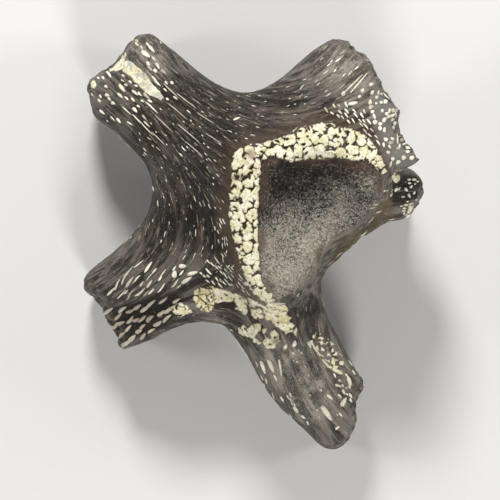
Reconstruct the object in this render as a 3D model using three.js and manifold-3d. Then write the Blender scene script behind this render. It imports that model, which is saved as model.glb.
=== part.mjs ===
// A fossil turtle vertebra, one bone from the back of the neck, lying on its neural arch.
// Millimetres, +Z up. The origin is on the floor under the middle of the bone's box.
// The hollow joint face looks up, four processes slope down from it to the floor, and a fifth
// stands out as a wing. The neural canal runs through under the joint face.
// The bone is one closed surface where a smooth field, built from the named sizes below, is zero.
import * as THREE from "three";
import Module from "manifold-3d";

// Driving dimensions

const THICKNESS = 11; // floor to the top of the rim round the joint face
const CELL = 0.48; // spacing of the surface's facets
const GRID_LOW = [-9.95, -11.9, -0.8]; // the corner where the facets' grid starts
const GRID_COUNT = [42, 49, 26];
const REFINE_STEPS = 2; // times each vertex is pulled onto the surface
const PULL_SHARE = 0.7; // how much of its gap to the surface a pull closes
const GRADIENT_STEP = 0.02; // half the distance over which slopes are measured
const LEAST_STEEPNESS = 0.05; // keeps a pull short where the field is nearly level
const NEARLY_LEVEL = 1e-6; // slopes below this count as none
const PATH_SPACING = 0.3; // between points on an outline or a feature's line
const OUTLINE_GROWTH = 0.06; // makes up for the facets' cutting of the corners

// The outline seen from above, in stretches that follow one another clockwise.
// A smooth stretch is one spline through its points; a broken one has straight edges.
const OUTLINE = [
  { name: "end of the grooved process", smooth: true, points: [
    [-8.4, 6.65], [-8.5, 7.4], [-8.66, 8.1], [-8.4, 8.45], [-7.5, 9.05], [-6.95, 9.6],
    [-6.3, 10.45], [-5.65, 10.8], [-5.2, 10.65], [-3.85, 9.6]] },
  { name: "top notch", smooth: true, points: [
    [-3.65, 9.45], [-2.75, 8.65], [-1.8, 8.05], [-1.0, 7.75], [-0.1, 7.68], [0.75, 7.98],
    [1.75, 8.65], [2.8, 9.55], [3.7, 10.2], [4.45, 10.6]] },
  { name: "broken edge of the wing", smooth: false, points: [
    [4.85, 10.45], [5.25, 9.9], [5.9, 9.62], [6.2, 9.28], [6.35, 8.6], [7.2, 7.2],
    [7.55, 6.92], [7.5, 5.95], [7.8, 5.3], [8.25, 4.7], [9.0, 4.22], [8.4, 3.9]] },
  { name: "under the wing to the joint face's edge", smooth: true, points: [
    [7.55, 3.75], [7.15, 3.2], [7.1, 2.5], [6.8, 1.85], [6.3, 1.2], [5.9, 0.7]] },
  { name: "right notch", smooth: true, points: [
    [5.2, -0.2], [4.35, -0.98], [3.7, -1.6], [3.46, -2.4], [3.65, -3.5], [4.25, -4.85],
    [4.8, -5.9], [5.45, -7.0], [5.75, -7.45], [5.82, -7.75], [5.6, -8.0]] },
  { name: "broken tip of the long process", smooth: false, points: [
    [5.4, -8.15], [5.28, -8.9], [5.44, -9.35]] },
  { name: "end of the long process", smooth: true, points: [
    [5.2, -9.85], [4.85, -10.55], [4.3, -10.9], [3.65, -10.78], [3.0, -10.15], [1.5, -8.75],
    [0.5, -7.45], [-0.28, -6.0], [-0.9, -5.1]] },
  { name: "lower left notch", smooth: true, points: [
    [-1.45, -4.4], [-2.4, -4.2], [-3.5, -4.3], [-4.55, -4.75], [-5.5, -5.2], [-6.45, -5.55]] },
  { name: "broken end of the ledged process", smooth: false, points: [
    [-7.0, -5.82], [-7.12, -4.9], [-7.8, -3.9], [-8.05, -3.15]] },
  { name: "left notch", smooth: true, points: [
    [-8.8, -2.65], [-8.9, -2.1], [-8.55, -1.65], [-7.55, -0.85], [-6.45, 0.1], [-5.7, 1.0],
    [-5.3, 1.95], [-5.2, 2.85], [-5.4, 3.65], [-6.05, 4.6], [-7.25, 5.75], [-8.05, 6.22]] },
];

// Heights of the bone's upper side, its widest line and its underside at named places.
// round is how far in from the outline the surface takes to level off.
const PLACES = [
  { name: "end of the grooved process", at: [-7.1, 8.5], top: 4.9, middle: 2.5, under: -0.85, round: 2.4 },
  { name: "neck of the grooved process", at: [-4.7, 6.3], top: 6.9, middle: 4.5, under: 1.9, round: 2.3 },
  { name: "left notch", at: [-4.4, 2.6], top: 7.5, middle: 5.2, under: 1.1, round: 1.9 },
  { name: "neck of the ledged process", at: [-5.0, -1.3], top: 6.6, middle: 4.5, under: 1.9, round: 2.1 },
  { name: "end of the ledged process", at: [-7.8, -3.6], top: 4.5, middle: 2.3, under: -0.85, round: 1.9 },
  { name: "lower left notch", at: [-2.4, -3.2], top: 6.4, middle: 4.9, under: 2.0, round: 1.6 },
  { name: "top notch", at: [-0.4, 6.6], top: 7.8, middle: 6.2, under: 3.2, round: 1.9 },
  { name: "middle of the wing", at: [3.6, 8.3], top: 8.7, middle: 7.1, under: 5.2, round: 1.8 },
  { name: "broken edge of the wing", at: [6.2, 7.4], top: 8.7, middle: 7.5, under: 5.7, round: 1.0 },
  { name: "tip of the wing", at: [8.0, 4.6], top: 8.0, middle: 7.2, under: 6.2, round: 0.8 },
  { name: "hub behind the joint face", at: [-1.4, 2.6], top: 8.4, middle: 5.6, under: 0.9, round: 2.2 },
  { name: "under the joint face", at: [2.2, 1.2], top: 8.4, middle: 5.2, under: 0.8, round: 1.6 },
  { name: "right notch", at: [4.6, 0.8], top: 7.6, middle: 5.2, under: 0.9, round: 1.0 },
  { name: "root of the long process", at: [1.5, -4.1], top: 7.2, middle: 4.9, under: 1.9, round: 1.9 },
  { name: "middle of the long process", at: [2.7, -7.0], top: 5.8, middle: 3.4, under: 0.7, round: 2.3 },
  { name: "end of the long process", at: [4.1, -9.4], top: 4.5, middle: 2.3, under: -0.85, round: 2.1 },
];
const PLACE_SPREAD = 1.75; // how far each named place's heights reach
const PLACE_SOFTNESS = 0.5; // lets a place's neighbours count even at the place itself

// The joint face: a scoop with a raised rim along its two straight sides
const RIM = [
  [1.3, -3.1], [0.55, -2.9], [-0.1, -2.2], [-0.7, -1.2], [-1.2, 0.3], [-1.22, 2.2], [-1.15, 4.3],
  [-0.75, 4.95], [0.5, 5.25], [1.7, 5.65], [2.6, 6.05], [3.9, 6.15], [5.0, 5.9], [5.9, 5.3],
  [6.6, 4.55], [7.05, 3.6]];
const RIM_WIDTH = 1.45; // across the worn band on top of the rim
const FACE_OPEN_SIDE = [
  [6.95, 2.9], [6.85, 2.3], [6.3, 1.55], [5.4, 0.95], [4.55, 0.35], [4.0, -0.2], [3.72, -0.8],
  [3.35, -1.6], [2.6, -2.35], [1.9, -3.05]];
const RIM_CORNER = [-0.9, 4.6]; // where the two straight sides meet
const RIM_HEIGHT = THICKNESS + 0.36; // at that corner, before the rim's slopes are taken off
const FACE_TILT = 0.16; // fall of the rim with distance from the corner
const BAND_SLOPE = 0.3; // fall of the worn band outwards
const SCOOP_DEPTH = 2.1;
const SCOOP_WALL = 3.0; // from the band to the scoop's level floor
const SCOOP_EDGE = 0.18; // rounds the edge between band and scoop, as a share of its wall
const OUTER_WALL = 1.15; // reach of the wall that falls away outside the rim

// Relief on the upper side: ridges stand up, grooves and hollows go down
const RELIEF = [
  { name: "groove in the end of the grooved process",
    line: [[-7.3, 9.3], [-6.4, 8.9], [-4.7, 7.5]], height: -0.75, width: 0.6 },
  { name: "lip of the wing's outer face",
    line: [[6.25, 8.9], [6.25, 7.6], [6.55, 6.4], [6.95, 4.9], [7.3, 3.9]], height: 0.4, width: 0.55 },
  { name: "crest along the wing", line: [[1.6, 7.2], [3.2, 8.3], [5.3, 9.3]], height: 0.45, width: 0.9 },
  { name: "crest along the long process", line: [[1.2, -4.4], [2.2, -6.6], [3.6, -9.2]], height: 0.2, width: 0.9 },
  { name: "hollow under the joint face", line: [[2.3, -3.6], [2.9, -4.3]], height: -0.45, width: 0.9 },
  { name: "worn oval on the long process", line: [[4.0, -5.6], [4.5, -6.6]], height: -0.15, width: 0.5 },
];

// Relief on the underside: the arch's low keel stands down, the muscle hollows between processes go in
const RELIEF_BELOW = [
  { name: "keel of the neural arch", line: [[-3.6, 2.4], [0.2, 1.5], [3.4, 0.6]], height: 0.55, width: 0.75 },
  { name: "hollow before the ledged process", line: [[-2.9, -2.0], [-0.6, -2.8]], height: -0.7, width: 1.1 },
  { name: "hollow behind the grooved process", line: [[-2.9, 5.0], [-0.4, 5.4]], height: -0.6, width: 1.2 },
  { name: "hollow under the wing", line: [[2.6, 5.2], [4.4, 6.0]], height: -0.8, width: 1.4 },
];

// The step between the ledged process's upper part and its lower, worn side
const LEDGE = { line: [[-8.0, -3.3], [-6.2, -3.2], [-4.6, -2.75], [-3.0, -2.3], [-1.0, -2.75], [0.2, -3.4]],
  drop: 0.7, width: 0.6, reach: 2.2 };

// Bars below the wing, seen past the joint face's right end: the stump of a broken process,
// and the short leg under it that reaches the floor
const BARS = [
  { name: "root of the stump", from: [6.5, 2.9, 5.6], to: [7.75, 2.75, 5.1], radii: [1.2, 1.05], blend: 0.5 },
  { name: "end of the stump", from: [7.75, 2.7, 5.1], to: [7.7, 2.0, 4.3], radii: [1.05, 0.95], blend: 0.4 },
  { name: "leg under the stump", from: [5.4, 2.4, 3.9], to: [7.0, 2.75, 0.7], radii: [2.0, 1.1], blend: 1.1 },
];

// The neural canal, from under the left notch to under the right one
const CANAL = { from: [-9, 2.4, 3.6], to: [9, -1.6, 3.4], radii: [1.22, 1.22], blend: 0.6 };

// Small functions

const clamp = (value, low, high) => Math.min(high, Math.max(low, value));
const smoothStep = (value) => {
  const t = clamp(value, 0, 1);
  return t * t * (3 - 2 * t);
};
const smoothMax = (a, b, blend) => {
  const t = clamp(0.5 + (a - b) / (2 * blend), 0, 1);
  return b + (a - b) * t + blend * t * (1 - t);
};
const smoothMin = (a, b, blend) => -smoothMax(-a, -b, blend);

// Points along a spline or a broken line, evenly spaced.
function walk(points, smooth) {
  const vectors = points.map(([x, y]) => new THREE.Vector2(x, y));
  const steps = (curve) => Math.max(1, Math.round(curve.getLength() / PATH_SPACING));
  if (smooth) {
    const curve = new THREE.SplineCurve(vectors);
    return curve.getSpacedPoints(steps(curve));
  }
  const path = [vectors[0]];
  for (let i = 1; i < vectors.length; i += 1) {
    const edge = new THREE.LineCurve(vectors[i - 1], vectors[i]);
    path.push(...edge.getSpacedPoints(steps(edge)).slice(1));
  }
  return path;
}

function squareToSegment(x, y, a, b) {
  const dx = b.x - a.x;
  const dy = b.y - a.y;
  const t = clamp(((x - a.x) * dx + (y - a.y) * dy) / (dx * dx + dy * dy || 1), 0, 1);
  const [ex, ey] = [x - a.x - t * dx, y - a.y - t * dy];
  return ex * ex + ey * ey;
}

function distanceToPath(x, y, path) {
  let best = Infinity;
  for (let i = 1; i < path.length; i += 1) {
    best = Math.min(best, squareToSegment(x, y, path[i - 1], path[i]));
  }
  return Math.sqrt(best);
}

// Distance to a closed path, positive inside it.
function depthInside(x, y, loop) {
  let best = Infinity;
  let inside = false;
  for (let i = 0, j = loop.length - 1; i < loop.length; j = i, i += 1) {
    const a = loop[j];
    const b = loop[i];
    best = Math.min(best, squareToSegment(x, y, a, b));
    const crosses = a.y > y !== b.y > y && x < ((b.x - a.x) * (y - a.y)) / (b.y - a.y) + a.x;
    if (crosses) inside = !inside;
  }
  return inside ? Math.sqrt(best) : -Math.sqrt(best);
}

// Distance along the side of a path: positive to the right of its direction.
function sideOfPath(x, y, path) {
  let best = Infinity;
  let side = 0;
  for (let i = 1; i < path.length; i += 1) {
    const a = path[i - 1];
    const b = path[i];
    const d = squareToSegment(x, y, a, b);
    if (d < best) {
      best = d;
      side = Math.sign((x - a.x) * (b.y - a.y) - (y - a.y) * (b.x - a.x));
    }
  }
  return Math.sqrt(best) * side;
}

// Depth in a round bar that may taper: positive inside it.
function depthInBar(x, y, z, { from, to, radii }) {
  const [ax, ay, az] = [to[0] - from[0], to[1] - from[1], to[2] - from[2]];
  const [ox, oy, oz] = [x - from[0], y - from[1], z - from[2]];
  const t = clamp((ox * ax + oy * ay + oz * az) / (ax * ax + ay * ay + az * az), 0, 1);
  return radii[0] + t * (radii[1] - radii[0]) - Math.hypot(ox - t * ax, oy - t * ay, oz - t * az);
}

// The bone's shape

const outlinePath = OUTLINE.flatMap(({ points, smooth }) => walk(points, smooth));
const rimPath = walk(RIM, true);
const facePath = walk([...RIM, ...FACE_OPEN_SIDE], true);
const withPath = (feature) => ({ ...feature, path: walk(feature.line, true) });
const above = RELIEF.map(withPath);
const below = RELIEF_BELOW.map(withPath);
const ledgePath = walk(LEDGE.line, true);

// Weighted mean of the named places' heights near a point.
function heightsAt(x, y) {
  const sum = { top: 0, middle: 0, under: 0, round: 0 };
  let total = 0;
  for (const place of PLACES) {
    const far = Math.hypot(x - place.at[0], y - place.at[1]) / PLACE_SPREAD;
    const weight = 1 / (PLACE_SOFTNESS + far * far) ** 2;
    total += weight;
    sum.top += weight * place.top;
    sum.middle += weight * place.middle;
    sum.under += weight * place.under;
    sum.round += weight * place.round;
  }
  return {
    top: sum.top / total,
    middle: sum.middle / total,
    under: sum.under / total,
    round: sum.round / total,
  };
}

// Height of the joint face and its rim, and how much of it holds at this point.
function jointFace(x, y) {
  const depth = depthInside(x, y, facePath);
  const fromRim = sideOfPath(x, y, rimPath);
  const fromCorner = Math.hypot(x - RIM_CORNER[0], y - RIM_CORNER[1]);
  const band = BAND_SLOPE * clamp(RIM_WIDTH - fromRim, 0, RIM_WIDTH);
  const t = smoothMax((fromRim - RIM_WIDTH) / SCOOP_WALL, 0, SCOOP_EDGE);
  const scoop = SCOOP_DEPTH * (1 - Math.max(0, 1 - t) ** 2);
  const beyond = Math.max(0, -depth) / OUTER_WALL;
  return {
    height: RIM_HEIGHT - FACE_TILT * fromCorner - band - scoop,
    share: Math.exp(-beyond * (1 + beyond)),
  };
}

// How far the features stand out from the plain surface here.
function reliefAt(x, y, features) {
  let relief = 0;
  for (const { path, height, width } of features) {
    relief += height * Math.exp(-((distanceToPath(x, y, path) / width) ** 2));
  }
  return relief;
}

// Everything that depends only on where a point is in plan.
function plan(x, y) {
  const heights = heightsAt(x, y);
  const face = jointFace(x, y);
  const ledge = LEDGE.drop * smoothStep(0.5 + sideOfPath(x, y, ledgePath) / LEDGE.width);
  const nearLedge = Math.exp(-((distanceToPath(x, y, ledgePath) / LEDGE.reach) ** 2));
  const open = heights.top + reliefAt(x, y, above) - ledge * nearLedge;
  return {
    inside: depthInside(x, y, outlinePath) + OUTLINE_GROWTH,
    top: open + (face.height - open) * face.share,
    middle: heights.middle,
    under: heights.under - reliefAt(x, y, below),
    round: heights.round,
  };
}

// Depth of a point in the bone: positive inside, zero on the surface.
function boneDepth(x, y, z, { inside, top, middle, under, round }) {
  const reach = z > middle ? top - middle : middle - under;
  const up = (z - middle) / reach;
  const out = Math.max(0, 1 - inside / round);
  const level = Math.hypot(up, out);
  const slope = Math.hypot(up / reach, out / round);
  let depth = slope > NEARLY_LEVEL ? (level * (1 - level)) / slope : Math.min(reach, round);
  for (const bar of BARS) depth = smoothMax(depth, depthInBar(x, y, z, bar), bar.blend);
  depth = smoothMin(depth, -depthInBar(x, y, z, CANAL), CANAL.blend);
  return Math.min(depth, z);
}

// The surface as a net of four-sided facets

// A cell's twelve edges: the axis each runs along, and its offsets along the two axes that follow.
const CELL_EDGES = [0, 1, 2].flatMap((axis) =>
  [[0, 0], [1, 0], [0, 1], [1, 1]].map(([u, v]) => {
    const start = [0, 0, 0];
    start[(axis + 1) % 3] = u;
    start[(axis + 2) % 3] = v;
    const end = [...start];
    end[axis] = 1;
    return { axis, start, end };
  }));
const edgeNumber = (axis, u, v) => 4 * axis + u + 2 * v;

// For each face of a cell, its corners in turn.
const CELL_FACES = [0, 1, 2].flatMap((axis) =>
  [0, 1].map((side) => [[0, 0], [1, 0], [1, 1], [0, 1]].map(([u, v]) => {
    const corner = [0, 0, 0];
    corner[axis] = side;
    corner[(axis + 1) % 3] = u;
    corner[(axis + 2) % 3] = v;
    return corner;
  })));
const edgeBetween = (a, b) => CELL_EDGES.findIndex(({ start, end }) => {
  const same = (p, q) => p.every((value, n) => value === q[n]);
  return (same(start, a) && same(end, b)) || (same(start, b) && same(end, a));
});
const FACE_EDGES = CELL_FACES.map((ring) => ring.map((corner, n) => edgeBetween(corner, ring[(n + 1) % 4])));

// Sorts the cut edges of a cell into the separate sheets of surface that pass through it.
function sheetsOf(isInside) {
  const sheet = CELL_EDGES.map(({ start, end }, n) => (isInside(start) === isInside(end) ? -1 : n));
  const join = (a, b) => {
    const [keep, drop] = [sheet[a], sheet[b]];
    sheet.forEach((value, n) => {
      if (value === drop) sheet[n] = keep;
    });
  };
  CELL_FACES.forEach((ring, face) => {
    const sides = FACE_EDGES[face];
    const cut = sides.filter((side) => sheet[side] >= 0);
    if (cut.length === 2) join(cut[0], cut[1]);
    if (cut.length < 4) return;
    ring.forEach((corner, n) => {
      if (isInside(corner)) join(sides[n], sides[(n + 3) % 4]);
    });
  });
  return sheet;
}

function surfaceNet() {
  const place = (axis, i) => GRID_LOW[axis] + i * CELL;
  const columns = new Map();
  const depthAt = (x, y, z) => {
    const key = `${x.toFixed(4)},${y.toFixed(4)}`;
    if (!columns.has(key)) columns.set(key, plan(x, y));
    return boneDepth(x, y, z, columns.get(key));
  };
  const index = ([i, j, k]) => (k * GRID_COUNT[1] + j) * GRID_COUNT[0] + i;
  const field = new Float64Array(GRID_COUNT[0] * GRID_COUNT[1] * GRID_COUNT[2]);
  const eachPoint = (first, last, use) => {
    for (let k = first; k < GRID_COUNT[2] - last; k += 1) {
      for (let j = first; j < GRID_COUNT[1] - last; j += 1) {
        for (let i = first; i < GRID_COUNT[0] - last; i += 1) use([i, j, k]);
      }
    }
  };
  eachPoint(0, 0, (at) => {
    field[index(at)] = depthAt(...at.map((i, axis) => place(axis, i)));
  });

  const vertices = [];
  const vertexOf = new Map();
  eachPoint(0, 1, (cell) => {
    const value = (corner) => field[index(cell.map((i, n) => i + corner[n]))];
    const sheet = sheetsOf((corner) => value(corner) > 0);
    for (const name of new Set(sheet.filter((n) => n >= 0))) {
      const sum = [0, 0, 0];
      const cut = CELL_EDGES.filter((_, n) => sheet[n] === name);
      for (const { start, end, axis } of cut) {
        const t = value(start) / (value(start) - value(end));
        start.forEach((offset, n) => {
          sum[n] += (offset + (n === axis ? t : 0)) / cut.length;
        });
      }
      sheet.forEach((other, n) => {
        if (other === name) vertexOf.set(12 * index(cell) + n, vertices.length);
      });
      vertices.push(sum.map((offset, n) => place(n, cell[n] + offset)));
    }
  });
  for (let step = 0; step < REFINE_STEPS; step += 1) {
    for (const point of vertices) pullOntoSurface(point, depthAt);
  }

  const triangles = [];
  const gap = (p, q) => Math.hypot(...vertices[p].map((value, n) => value - vertices[q][n]));
  eachPoint(1, 1, (at) => {
    for (let axis = 0; axis < 3; axis += 1) {
      const [u, v] = [(axis + 1) % 3, (axis + 2) % 3];
      const next = [...at];
      next[axis] += 1;
      const here = field[index(at)] > 0;
      if (here === field[index(next)] > 0) continue;
      const round = [[1, 1], [0, 1], [0, 0], [1, 0]].map(([du, dv]) => {
        const cell = [...at];
        cell[u] -= du;
        cell[v] -= dv;
        return vertexOf.get(12 * index(cell) + edgeNumber(axis, du, dv));
      });
      const [a, b, c, d] = here ? round : round.reverse();
      if (gap(a, c) < gap(b, d)) triangles.push(a, b, c, a, c, d);
      else triangles.push(a, b, d, b, c, d);
    }
  });
  return { vertices, triangles };
}

// Moves a vertex along the field's slope to where the depth is zero.
function pullOntoSurface(point, depthAt) {
  const [x, y, z] = point;
  const e = GRADIENT_STEP;
  const depth = depthAt(x, y, z);
  const slope = [
    (depthAt(x + e, y, z) - depthAt(x - e, y, z)) / (2 * e),
    (depthAt(x, y + e, z) - depthAt(x, y - e, z)) / (2 * e),
    (depthAt(x, y, z + e) - depthAt(x, y, z - e)) / (2 * e),
  ];
  const steep = slope.reduce((sum, value) => sum + value * value, 0);
  const limit = CELL / 4;
  slope.forEach((value, n) => {
    point[n] -= clamp((PULL_SHARE * depth * value) / Math.max(steep, LEAST_STEEPNESS), -limit, limit);
  });
  point[2] = Math.max(0, point[2]);
}

// The largest closed surface of the net, as a geometry with flat facets.
async function boneGeometry() {
  const wasm = await Module();
  wasm.setup();
  const { vertices, triangles } = surfaceNet();
  const solid = new wasm.Manifold(new wasm.Mesh({
    numProp: 3,
    vertProperties: new Float32Array(vertices.flat()),
    triVerts: new Uint32Array(triangles),
  }));
  const largest = solid.decompose().sort((a, b) => b.volume() - a.volume())[0];
  const { min, max } = largest.boundingBox();
  const centred = largest.translate([-(min[0] + max[0]) / 2, -(min[1] + max[1]) / 2, 0]);
  const mesh = centred.getMesh();
  const geometry = new THREE.BufferGeometry();
  geometry.setAttribute("position", new THREE.BufferAttribute(new Float32Array(mesh.vertProperties), 3));
  geometry.setIndex(new THREE.BufferAttribute(new Uint32Array(mesh.triVerts), 1));
  geometry.computeVertexNormals();
  return geometry;
}

const blackBone = new THREE.MeshStandardMaterial({ color: 0x2e2723, roughness: 0.42, metalness: 0 });

const vertebra = new THREE.Mesh(await boneGeometry(), blackBone);
vertebra.name = "vertebra";

const bone = new THREE.Group();
bone.add(vertebra);

export default bone;
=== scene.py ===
# %% [markdown]
# # A fossil turtle vertebra
#
# The real thing is one small bone, 24 mm long, turned to dark stone. Cream mineral fills its pits,
# and wear has opened the spongy bone on the rim round its joint face. The solid model has the true
# form. This script keeps it and adds a finer surface: a skin, crusts and many filled pits.

# %% Load the fixed frame
import math
import random

import bpy
import numpy as np
from mathutils import Matrix, Vector, noise
from mathutils.bvhtree import BVHTree


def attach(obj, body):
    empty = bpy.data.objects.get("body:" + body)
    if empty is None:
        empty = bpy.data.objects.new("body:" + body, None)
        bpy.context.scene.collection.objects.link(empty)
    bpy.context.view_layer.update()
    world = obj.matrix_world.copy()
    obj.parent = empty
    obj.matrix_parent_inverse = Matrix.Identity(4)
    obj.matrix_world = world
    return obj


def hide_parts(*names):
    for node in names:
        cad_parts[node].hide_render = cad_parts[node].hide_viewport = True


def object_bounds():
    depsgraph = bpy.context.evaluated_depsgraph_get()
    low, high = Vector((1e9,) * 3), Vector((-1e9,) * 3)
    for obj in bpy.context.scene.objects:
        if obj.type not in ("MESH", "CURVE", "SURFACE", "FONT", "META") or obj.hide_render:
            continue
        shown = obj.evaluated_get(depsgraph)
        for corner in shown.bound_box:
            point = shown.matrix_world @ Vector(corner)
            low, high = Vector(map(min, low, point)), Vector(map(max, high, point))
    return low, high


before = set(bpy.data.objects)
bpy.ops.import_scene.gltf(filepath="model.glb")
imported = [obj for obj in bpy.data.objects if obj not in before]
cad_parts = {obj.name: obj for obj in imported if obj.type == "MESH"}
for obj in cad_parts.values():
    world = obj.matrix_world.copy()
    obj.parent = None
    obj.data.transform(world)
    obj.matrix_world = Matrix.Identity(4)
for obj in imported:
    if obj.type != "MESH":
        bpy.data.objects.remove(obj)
cad_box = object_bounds()
low, high = cad_box
print("bone in mm:", [round(1000 * side, 2) for side in high - low])

# %% [markdown]
# Many of Blender's tools are too coarse for a hundredth of a millimetre. So each piece is modelled
# a thousand times too large, one Blender unit to the millimetre, and shrunk at the end. The
# picture's pixels give the places on the upper side: one pixel covers PIXEL_MM of the bone.

# %% Units and places
PER_METRE = 1000.0
PIXEL_MM = 0.0525
PIXEL_AT_ORIGIN = (253.0, 242.0)
FRAME_MM = 500 * PIXEL_MM


def spot(column, row):
    """The plan position in mm of a place in the photograph."""
    return (column - PIXEL_AT_ORIGIN[0]) * PIXEL_MM, (PIXEL_AT_ORIGIN[1] - row) * PIXEL_MM


def loop_of(pixels):
    """An outline in mm from one in pixels."""
    return np.array([spot(*pixel) for pixel in pixels])


def rising(values, start, end):
    """0 at start, 1 at end, smooth between."""
    t = np.clip((values - start) / (end - start), 0, 1)
    return t * t * (3 - 2 * t)


# %% [markdown]
# Operators act on whatever is selected, so each step first selects just one object.

# %% Helpers for objects
def pick(obj):
    bpy.ops.object.select_all(action="DESELECT")
    obj.select_set(True)
    bpy.context.view_layer.objects.active = obj


def just_made():
    return bpy.context.view_layer.objects.active


def modify(obj, kind, **settings):
    """Adds a modifier, sets it and applies it."""
    pick(obj)
    modifier = obj.modifiers.new(kind.title(), kind)
    for key, value in settings.items():
        setattr(modifier, key, value)
    bpy.ops.object.modifier_apply(modifier=modifier.name)


def points_of(obj, key="co"):
    """One row per vertex: its place, or whatever else the key names."""
    flat = np.empty(3 * len(obj.data.vertices), np.float32)
    obj.data.vertices.foreach_get(key, flat)
    return flat.reshape(-1, 3).astype(float)


def normals_of(obj):
    return points_of(obj, "normal")


def move_points(obj, points):
    obj.data.vertices.foreach_set("co", points.astype(np.float32).ravel())
    obj.data.update()


def store(obj, name, values):
    """Keeps one number per vertex for the materials."""
    layer = obj.data.attributes.new(name, "FLOAT", "POINT")
    layer.data.foreach_set("value", values.astype(np.float32))


def finish_piece(obj, material):
    """Shrinks the piece to metres, shades it smooth and fixes it to the bone."""
    obj.data.transform(Matrix.Scale(1 / PER_METRE, 4))
    pick(obj)
    bpy.ops.object.shade_smooth()
    obj.data.materials.clear()
    obj.data.materials.append(material)
    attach(obj, "root")
    obj.data.calc_loop_triangles()
    print(obj.name, len(obj.data.loop_triangles), "triangles")


# %% [markdown]
# Bone has a grain. Its fibres run along each process and part round the notches between them, as
# water parts round stones. A short formula has that pattern: the sum of the logarithms of the
# distances to the notches' centres, with signs that take turns. Its contour lines are the fibres,
# and the matching sum of angles measures the way along them.

# %% The grain of the bone
NOTCHES = [(1.0, (-0.2, 11.8)), (-1.2, (-10.2, 2.4)), (0.6, (-4.6, -8.2)), (-0.6, (8.0, -3.8))]
GRAIN_SCALE = 3.4  # makes the two sums about a millimetre per millimetre near the hub


def grain_coordinates(points):
    """How far along its fibre each point is, and how far across the fibres."""
    plan = points[:, 0] + 1j * points[:, 1]
    along = np.zeros(len(points))
    across = np.zeros(len(points))
    for sign, place in NOTCHES:
        centre = complex(*place)
        inward = -centre / abs(centre)
        along += sign * np.angle((plan - centre) * inward.conjugate())
        across += sign * np.log(abs(plan - centre))
    return GRAIN_SCALE * along, GRAIN_SCALE * across


def grain_direction(place):
    """The level direction in which the fibres run at a place."""
    slope = sum(sign / (complex(place.x, place.y) - complex(*centre)) for sign, centre in NOTCHES)
    return Vector((slope.imag, slope.real, 0)).normalized()


def wobble(points, size, seed=0.0):
    """Smooth noise between about -1 and 1, in lumps of the given size in mm."""
    shift = Vector((17.3 * seed, 9.1 * seed, 4.7 * seed))
    return np.array([noise.noise(Vector(p) / size + shift) for p in points])


# %% [markdown]
# A mark on the bone is often a patch with an outline. The distance to that outline tells where
# the patch is and how its edge should fade or step.

# %% Distance to an outline
def depth_in(points, outline):
    """How deep each point lies inside the outline, below 0 outside it."""
    x, y = points[:, 0], points[:, 1]
    best = np.full(len(points), 1e9)
    inside = np.zeros(len(points), bool)
    for a, b in zip(np.roll(outline, 1, axis=0), outline):
        edge = b - a
        t = np.clip(((x - a[0]) * edge[0] + (y - a[1]) * edge[1]) / (edge @ edge), 0, 1)
        gap = (x - a[0] - t * edge[0]) ** 2 + (y - a[1] - t * edge[1]) ** 2
        best = np.minimum(best, gap)
        if a[1] != b[1]:
            crosses = (a[1] > y) != (b[1] > y)
            inside ^= crosses & (x < edge[0] * (y - a[1]) / edge[1] + a[0])
    return np.where(inside, 1, -1) * np.sqrt(best)


def depth_in_any(points, outlines):
    """The same for several outlines in pixels, of which the nearest counts."""
    return np.max([depth_in(points[:, :2], loop_of(outline)) for outline in outlines], axis=0)


def there_and_back(line):
    """A line in pixels as an outline without width."""
    return line + line[-2:0:-1]


# %% [markdown]
# Every look here is a mixture of a few patterns, so shader maths is written as plain expressions.
# A small class wraps a node's output and turns the usual signs into Math nodes.

# %% Shader maths as expressions
class Value:
    def __init__(self, tree, socket):
        self.tree = tree
        self.socket = socket

    def math(self, operation, *others):
        return self.tree.node("ShaderNodeMath", {"operation": operation}, *(self, *others))

    def __add__(self, other):
        return self.math("ADD", other)

    def __mul__(self, other):
        return self.math("MULTIPLY", other)

    def __sub__(self, other):
        return self.math("SUBTRACT", other)

    def __rsub__(self, other):
        return self.tree.node("ShaderNodeMath", {"operation": "SUBTRACT"}, other, self)

    def __pow__(self, other):
        return self.math("POWER", other)

    __radd__ = __add__
    __rmul__ = __mul__

    def step(self, start, end):
        """0 below start, 1 above end, smooth between."""
        ends = {"interpolation_type": "SMOOTHSTEP"}
        return self.tree.node("ShaderNodeMapRange", ends, self, start, end)


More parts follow.
